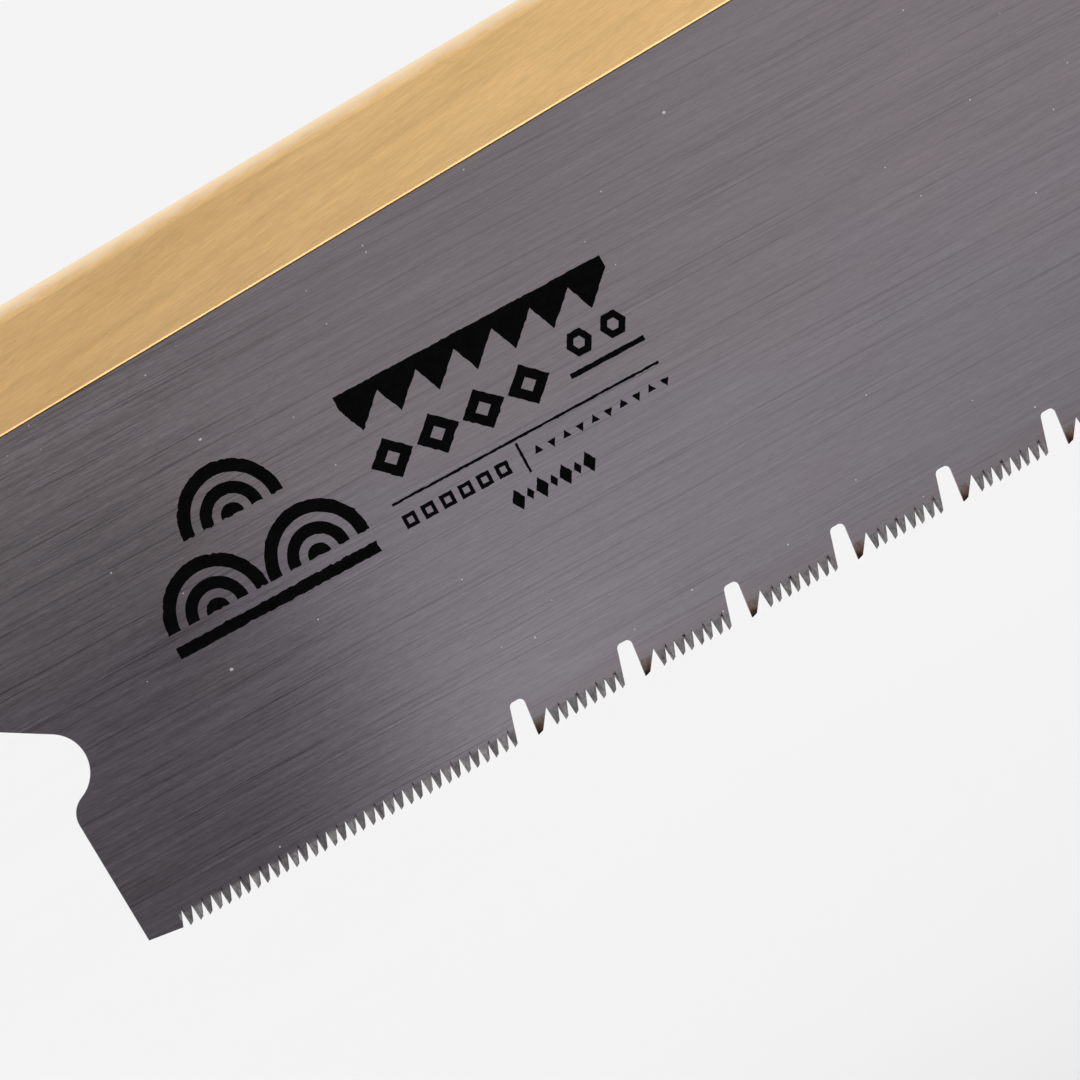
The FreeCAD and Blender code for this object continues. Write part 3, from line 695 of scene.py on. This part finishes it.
def small_marks(edge):
    """Two hexagons over a bar, then a long rule with hollow squares, a tick and triangles under it."""
    short_bar = bar(54.8, 62.6, middle=27.45, thick=0.5)
    long_rule = bar(34.5, 62.7, middle=24.85, thick=0.26)
    tick = rectangle(47.2, 47.46, low=21.5, high=24.5)
    shapes = []
    for centre in row_of(2, first=57.0, apart=3.6, height=29.9):
        shapes += hollow(centre, 1.35, 0.6, 6, edge, FINE_EDGE)
    for shape in (short_bar, long_rule, tick):
        shapes.append(roughened(shape, edge, **FINE_EDGE))
    for centre in row_of(6, first=35.4, apart=1.95, height=22.9):
        shapes += hollow(centre, 0.95, 0.42, 4, edge, FINE_EDGE, turn=45)
    for i, centre in enumerate(row_of(10, first=48.9, apart=1.5, height=23.0)):
        triangle = regular(centre, 0.5, 3, turn=270 if i % 2 else 90)
        shapes.append(roughened(triangle, edge, **FINE_EDGE))
    return shapes


def diamond_chain(edge):
    """Narrow diamonds, large and small by turns."""
    shapes = []
    for i, centre in enumerate(row_of(7, first=45.1, apart=1.25, height=19.8)):
        diamond = regular(centre, 0.62 if i % 2 else 1.05, 4, stretch=0.62)
        shapes.append(roughened(diamond, edge, **FINE_EDGE))
    return shapes


def print_outlines():
    """Every printed shape as closed outlines in (t, d), in millimetres. One inside another is a hole."""
    edge = random.Random(5)
    return wave_scales(edge) + wide_band(edge) + small_marks(edge) + diamond_chain(edge)


def make_print():
    """All the ink as one thin closed film on the blade's face towards -Y."""
    film = 0.015 * MM
    drawing = bpy.data.curves.new("blade_print_outlines", "CURVE")
    drawing.dimensions = "2D"
    drawing.fill_mode = "BOTH"
    drawing.extrude = film / 2
    for outline in print_outlines():
        line = drawing.splines.new("POLY")
        line.points.add(len(outline) - 1)
        for point, (t, d) in zip(line.points, outline):
            point.co = (t * MM, d * MM, 0.0, 1.0)
        line.use_cyclic_u = True
    source = bpy.data.objects.new("blade_print_outlines", drawing)
    bpy.context.scene.collection.objects.link(source)
    bpy.context.view_layer.update()
    mesh = bpy.data.meshes.new_from_object(source.evaluated_get(bpy.context.evaluated_depsgraph_get()))
    bpy.data.objects.remove(source)

    outward = Vector((0.0, -1.0, 0.0))
    turn = Matrix((ALONG_TEETH, UP_FROM_TEETH, outward)).transposed().to_4x4()
    face_y = BLADE_LOW.y - film / 2
    mesh.transform(Matrix.Translation(FIRST_TIP + Vector((0.0, face_y, 0.0))) @ turn)
    weld(mesh, film / 4)
    new_piece("blade_print", mesh, "blade_unit", "print_ink")


# ---------------------------------------------------------------- pieces of the grip


def core_halves(x):
    """Half height and half width of the oval core at x, between the two bindings."""
    (front_low, front_high), (rear_low, rear_high) = FRONT_BINDING, REAR_BINDING
    share = (x - front_low.x) / (rear_low.x - front_low.x)
    halves = front_high + (rear_high - front_high) * share
    return halves.z - BINDING_THICK, halves.y - BINDING_THICK


def on_core(x, angle, lift):
    """A point at a height above the core's surface; angle goes round the handle from +Y."""
    half_z, half_y = core_halves(x)
    return Vector((x, (half_y + lift) * math.cos(angle), (half_z + lift) * math.sin(angle)))


def make_cane():
    """One split cane wound round the grip, domed across, narrowing where its ends are tucked in."""
    turns = 28
    steps = 72
    gap = 0.22 * MM
    tucked_half = 0.15 * MM
    usual_thick = 0.95
    uneven = 0.04

    # Across the strip: side from -1 to 1 of its half width, height as a share of its thickness
    profile = [(-1.0, 0.10), (-1.0, 0.42), (-0.9, 0.68), (-0.62, 0.92), (-0.25, 1.0)]
    profile += [(-side, height) for side, height in profile[::-1]]

    low, high = (corner.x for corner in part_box("rattan_wrap"))
    pitch = (high - low) / (turns - 1)
    wander = random.Random(11)
    swell = [wander.uniform(-1, 1) for _ in range(turns + 2)]
    sections = []
    spots = []
    for i in range(turns * steps + 1):
        turn = i / steps
        whole = int(turn)
        ease = turn - whole
        puff = swell[whole] * (1 - ease) + swell[whole + 1] * ease
        rear_edge = low + pitch * max(turn - 1.0, 0.0)
        front_edge = low + pitch * min(turn, turns - 1.0)
        middle = (rear_edge + front_edge) / 2
        half = max((front_edge - rear_edge - gap) / 2, tucked_half)
        thick = WRAP_THICK * (usual_thick + uneven * puff)
        angle = 2 * math.pi * turn - math.pi / 2
        ring = [on_core(middle + half * side, angle, thick * height) for side, height in profile]
        sections.append(ring)
        spots.append((turn, half))
    mesh = tube_mesh("rattan_cane_wrap", sections, False)

    # Lengths along and across the strip, for the fibres
    round_length = 2 * math.pi * sum(core_halves(0.0)) / 2
    layer = mesh.uv_layers.new(name=STRIP_MAP)
    for loop in mesh.loops:
        section, corner = divmod(loop.vertex_index, len(profile))
        turn, half = spots[section]
        layer.data[loop.index].uv = (turn * round_length, half * profile[corner][0])
    mesh.shade_smooth()
    piece = new_piece("rattan_cane_wrap", mesh, "handle", "rattan_cane")
    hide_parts("rattan_wrap")


def thread_turn(x, lift, radius):
    """Two plies twisted into one closed turn of thread round the core."""
    twists = 46
    steps_a_twist = 8
    sides = 6
    ply = 0.56 * radius
    steps = twists * steps_a_twist
    across = Vector((1.0, 0.0, 0.0))
    plies = []
    for start in (0.0, math.pi):
        sections = []
        for i in range(steps):
            angle = 2 * math.pi * i / steps
            centre = on_core(x, angle, lift)
            out = (on_core(x, angle, lift + radius) - centre).normalized()
            roll = start + 2 * math.pi * twists * i / steps
            middle = centre + (out * math.sin(roll) + across * math.cos(roll)) * (radius - ply)
            ring = []
            for j in range(sides):
                around = 2 * math.pi * j / sides
                ring.append(middle + (out * math.sin(around) + across * math.cos(around)) * ply)
            sections.append(ring)
        plies.append(tube_mesh("ply", sections, True))
    return plies


def make_binding(node):
    """Waxed thread wound in two layers over the end of the cane."""
    low, high = (corner.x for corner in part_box(node))
    turns = 4
    radius = (high - low) / turns / 2
    meshes = []
    for lift in (radius, BINDING_THICK - radius):
        for i in range(turns):
            meshes += thread_turn(low + radius * (2 * i + 1), lift, radius)
    mesh = joined(meshes, node + "_thread")
    mesh.shade_smooth()
    piece = new_piece(node + "_thread", mesh, "handle", "binding_thread")
    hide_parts(node)


# ---------------------------------------------------------------- studio


def make_floor():
    """Large pale paper floor, far enough below the teeth to keep shadows out of the camera's view."""
    drop = 57 * MM
    reach = 6.0
    dim_paper = rgb(0.81, 0.81, 0.813)
    bright_paper = rgb(0.82, 0.82, 0.823)
    z = CAD_BOUNDS[0].z - drop
    corners = [(-reach, -reach, z), (reach, -reach, z), (reach, reach, z), (-reach, reach, z)]
    mesh = bpy.data.meshes.new("studio_floor")
    mesh.from_pydata(corners, [], [(0, 1, 2, 3)])
    floor = bpy.data.objects.new("studio_floor", mesh)
    floor.visible_glossy = False  # the flat blade reflects the room and not the paper under the camera
    bpy.context.scene.collection.objects.link(floor)
    paper = Finish("studio_paper")
    blotches_a_metre = (3.0, 3.0, 3.0)
    mottle = paper.noise(paper.place, blotches_a_metre, 3.0)
    colour = paper.mix(paper.spread(mottle, 0.0, 1.0), dim_paper, bright_paper)
    mesh.materials.append(paper.shade(Base_Color=colour, Roughness=0.9, Specular_IOR_Level=0.1))


def make_surroundings():
    """Bright room all round, with the darker camera side that flat metal reflects."""
    world = bpy.data.worlds.new("studio")
    bpy.context.scene.world = world
    world.use_nodes = True
    world.node_tree.nodes.clear()
    room = Nodes(world.node_tree)
    x, y, z = room.axes(room.node("TexCoord").outputs["Generated"])  # the direction, as a unit vector

    # The sides and the back, lighter overhead and lightest from below
    overhead = room.smooth(y, -0.2, 0.5, 0.85, 1.2)
    round_about = room.smooth(z, 0.25, 0.8, 0.65, overhead)
    round_about = room.smooth(z, -0.60, -0.90, round_about, 2.8)

    # Softboxes on both sides of the camera, level with the saw
    boxes = room.smooth(z, -0.30, -0.08, 0.5, 3.25)
    boxes = room.smooth(z, 0.22, 0.62, boxes, 0.7)
    away_from_camera = room.smooth(y, -0.55, -0.35, boxes, round_about)

    # Dim panel behind the camera, darkest in the corner that is low and on the handle's side
    panel = room.smooth(z, -0.055, -0.02, 0.58, 0.34)
    panel = room.smooth(x, 0.17, 0.25, panel, 0.43)
    beside_corner = room.smooth(x, 0.126, 0.148)
    outside_corner = room.smooth(z, -0.018, 0.008, beside_corner, 1.0)
    panel = room.pick(outside_corner, 0.215, panel)
    light = room.smooth(y, -0.93, -0.80, panel, away_from_camera)

    seen = room.node("LightPath").outputs["Is Camera Ray"]
    level = room.pick(seen, light, BACKGROUND_LEVEL)
    back = room.node("Background", {"Color": rgb(1.0, 0.995, 1.005), "Strength": level}).outputs[0]
    room.node("OutputWorld", {"Surface": back})


def make_key_light():
    """Very wide soft light from above and in front, even over the whole floor."""
    towards_light = Vector((0.35, -0.55, 1.0))
    key = bpy.data.lights.new("soft_key", "SUN")
    key.energy = 0.55
    key.angle = math.radians(60)
    key.color = (1.0, 0.985, 0.96)
    lamp = bpy.data.objects.new("soft_key", key)
    lamp.rotation_euler = towards_light.to_track_quat("Z", "Y").to_euler()
    lamp.visible_glossy = False  # metal shows the softboxes of the room, not a second glare
    bpy.context.scene.collection.objects.link(lamp)


def make_camera():
    """Close view of the heel half of the printed side, level with the blade and rolled."""
    aim_from_first_tip = Vector((45.8, 0.0, 13.4)) * MM
    aim = FIRST_TIP + aim_from_first_tip
    distance = 0.7
    yaw = math.radians(9.72)
    pitch = math.radians(2.24)
    roll = math.radians(-30.98)
    forward = Vector((math.sin(yaw) * math.cos(pitch), math.cos(yaw) * math.cos(pitch), -math.sin(pitch)))
    level = Vector((math.cos(yaw), -math.sin(yaw), 0.0))
    upright = level.cross(forward)
    right = level * math.cos(roll) + upright * math.sin(roll)
    up = upright * math.cos(roll) - level * math.sin(roll)
    camera = bpy.data.cameras.new("camera")
    camera.lens = 254.4
    camera.sensor_width = 36.0
    camera.clip_start = 0.01
    camera.clip_end = 50.0
    eye = bpy.data.objects.new("camera", camera)
    turn = Matrix((right, up, -forward)).transposed().to_4x4()
    eye.matrix_world = Matrix.Translation(aim - forward * distance) @ turn
    bpy.context.scene.collection.objects.link(eye)
    bpy.context.scene.camera = eye


# ---------------------------------------------------------------- scene

FINISHES = {
    "blade_steel": blade_steel(),
    "spine_brass": spine_brass(),
    "holder_steel": plated_steel("pressed_holder_steel", rgb(0.56, 0.55, 0.53), 0.30, 3.0),
    "pin_steel": plated_steel("ground_pin_steel", rgb(0.50, 0.49, 0.48), 0.26, 6.0),
    "fastener_steel": plated_steel("zinc_plated_steel", rgb(0.62, 0.62, 0.63), 0.24, 5.0),
    "ferrule_brass": turned_brass("ferrule_brass_finish", rgb(0.83, 0.56, 0.25), rgb(0.64, 0.40, 0.16), 0.28),
    "eyelet_brass": turned_brass("eyelet_brass_finish", rgb(0.86, 0.60, 0.28), rgb(0.62, 0.38, 0.15), 0.22),
    "handle_wood": handle_wood(),
    "rattan_cane": rattan_cane(),
    "binding_thread": waxed_thread(),
    "print_ink": print_ink(),
}

paint_nodes(FINISHES)
make_print()
make_cane()
make_binding("wrap_binding_front")
make_binding("wrap_binding_rear")
make_floor()
make_surroundings()
make_key_light()
make_camera()
bpy.context.scene.view_settings.view_transform = "Standard"
